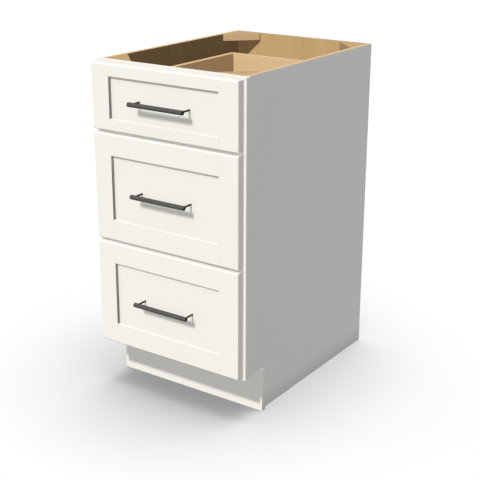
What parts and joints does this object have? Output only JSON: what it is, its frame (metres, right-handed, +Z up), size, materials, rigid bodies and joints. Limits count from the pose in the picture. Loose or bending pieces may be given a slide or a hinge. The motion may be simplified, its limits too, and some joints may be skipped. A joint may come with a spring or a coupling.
{
  "type": "kitchen base cabinet with drawers",
  "caption": "Framed kitchen base cabinet with sliding drawers, shaker fronts, bar pulls, a recessed toe board and an open top for a worktop.",
  "frame": {"origin": "middle of the footprint, on the floor, between the front of the pulls and the cabinet's back", "axes": "+Z up, -Y towards the person who opens the drawers, +X to their right"},
  "size_m": [0.4572, 0.6642, 0.8763],
  "materials": {
    "white_paint": "sprayed satin lacquer on wood and board",
    "side_laminate": "satin laminate outside, birch veneer inside",
    "interior_birch": "clear satin over birch plywood",
    "drawer_birch": "clear satin over solid birch and plywood",
    "pull_metal": "matt black bronze coating",
    "runner_steel": "bright zinc plating"
  },
  "bodies": {
    "carcass": {"left_side_panel": "side_laminate", "right_side_panel": "side_laminate", "back_panel": "interior_birch", "bottom_panel": "interior_birch", "toe_board": "white_paint", "face_frame_left_stile": "white_paint", "face_frame_right_stile": "white_paint", "face_frame_top_rail": "white_paint", "face_frame_upper_middle_rail": "white_paint", "face_frame_lower_middle_rail": "white_paint", "face_frame_bottom_rail": "white_paint", "front_left_gusset": "interior_birch", "front_right_gusset": "interior_birch", "rear_left_gusset": "interior_birch", "rear_right_gusset": "interior_birch", "top_drawer_left_cabinet_runner": "runner_steel", "top_drawer_right_cabinet_runner": "runner_steel", "middle_drawer_left_cabinet_runner": "runner_steel", "middle_drawer_right_cabinet_runner": "runner_steel", "bottom_drawer_left_cabinet_runner": "runner_steel", "bottom_drawer_right_cabinet_runner": "runner_steel"},
    "top_drawer": {"top_drawer_front_frame": "white_paint", "top_drawer_front_panel": "white_paint", "top_drawer_pull": "pull_metal", "top_drawer_box_front": "drawer_birch", "top_drawer_box_back": "drawer_birch", "top_drawer_box_left_side": "drawer_birch", "top_drawer_box_right_side": "drawer_birch", "top_drawer_box_bottom": "drawer_birch", "top_drawer_left_drawer_runner": "runner_steel", "top_drawer_right_drawer_runner": "runner_steel"},
    "middle_drawer": {"middle_drawer_front_frame": "white_paint", "middle_drawer_front_panel": "white_paint", "middle_drawer_pull": "pull_metal", "middle_drawer_box_front": "drawer_birch", "middle_drawer_box_back": "drawer_birch", "middle_drawer_box_left_side": "drawer_birch", "middle_drawer_box_right_side": "drawer_birch", "middle_drawer_box_bottom": "drawer_birch", "middle_drawer_left_drawer_runner": "runner_steel", "middle_drawer_right_drawer_runner": "runner_steel"},
    "bottom_drawer": {"bottom_drawer_front_frame": "white_paint", "bottom_drawer_front_panel": "white_paint", "bottom_drawer_pull": "pull_metal", "bottom_drawer_box_front": "drawer_birch", "bottom_drawer_box_back": "drawer_birch", "bottom_drawer_box_left_side": "drawer_birch", "bottom_drawer_box_right_side": "drawer_birch", "bottom_drawer_box_bottom": "drawer_birch", "bottom_drawer_left_drawer_runner": "runner_steel", "bottom_drawer_right_drawer_runner": "runner_steel"},
    "top_drawer_left_middle_runner": {"top_drawer_left_middle_runner": "runner_steel"},
    "top_drawer_right_middle_runner": {"top_drawer_right_middle_runner": "runner_steel"},
    "middle_drawer_left_middle_runner": {"middle_drawer_left_middle_runner": "runner_steel"},
    "middle_drawer_right_middle_runner": {"middle_drawer_right_middle_runner": "runner_steel"},
    "bottom_drawer_left_middle_runner": {"bottom_drawer_left_middle_runner": "runner_steel"},
    "bottom_drawer_right_middle_runner": {"bottom_drawer_right_middle_runner": "runner_steel"}
  },
  "joints": [
    {"name": "top_drawer_slide", "type": "slide", "parent": "carcass", "child": "top_drawer", "axis": [0, -1, 0], "range_m": [0, 0.508]},
    {"name": "middle_drawer_slide", "type": "slide", "parent": "carcass", "child": "middle_drawer", "axis": [0, -1, 0], "range_m": [0, 0.508]},
    {"name": "bottom_drawer_slide", "type": "slide", "parent": "carcass", "child": "bottom_drawer", "axis": [0, -1, 0], "range_m": [0, 0.508]},
    {"name": "top_left_runner_slide", "type": "slide", "parent": "carcass", "child": "top_drawer_left_middle_runner", "axis": [0, -1, 0], "range_m": [0, 0.254]},
    {"name": "top_right_runner_slide", "type": "slide", "parent": "carcass", "child": "top_drawer_right_middle_runner", "axis": [0, -1, 0], "range_m": [0, 0.254]},
    {"name": "middle_left_runner_slide", "type": "slide", "parent": "carcass", "child": "middle_drawer_left_middle_runner", "axis": [0, -1, 0], "range_m": [0, 0.254]},
    {"name": "middle_right_runner_slide", "type": "slide", "parent": "carcass", "child": "middle_drawer_right_middle_runner", "axis": [0, -1, 0], "range_m": [0, 0.254]},
    {"name": "bottom_left_runner_slide", "type": "slide", "parent": "carcass", "child": "bottom_drawer_left_middle_runner", "axis": [0, -1, 0], "range_m": [0, 0.254]},
    {"name": "bottom_right_runner_slide", "type": "slide", "parent": "carcass", "child": "bottom_drawer_right_middle_runner", "axis": [0, -1, 0], "range_m": [0, 0.254]}
  ],
  "couplings": [
    {"joint": "top_left_runner_slide", "follows": "top_drawer_slide", "ratio": 0.5},
    {"joint": "top_right_runner_slide", "follows": "top_drawer_slide", "ratio": 0.5},
    {"joint": "middle_left_runner_slide", "follows": "middle_drawer_slide", "ratio": 0.5},
    {"joint": "middle_right_runner_slide", "follows": "middle_drawer_slide", "ratio": 0.5},
    {"joint": "bottom_left_runner_slide", "follows": "bottom_drawer_slide", "ratio": 0.5},
    {"joint": "bottom_right_runner_slide", "follows": "bottom_drawer_slide", "ratio": 0.5}
  ]
}
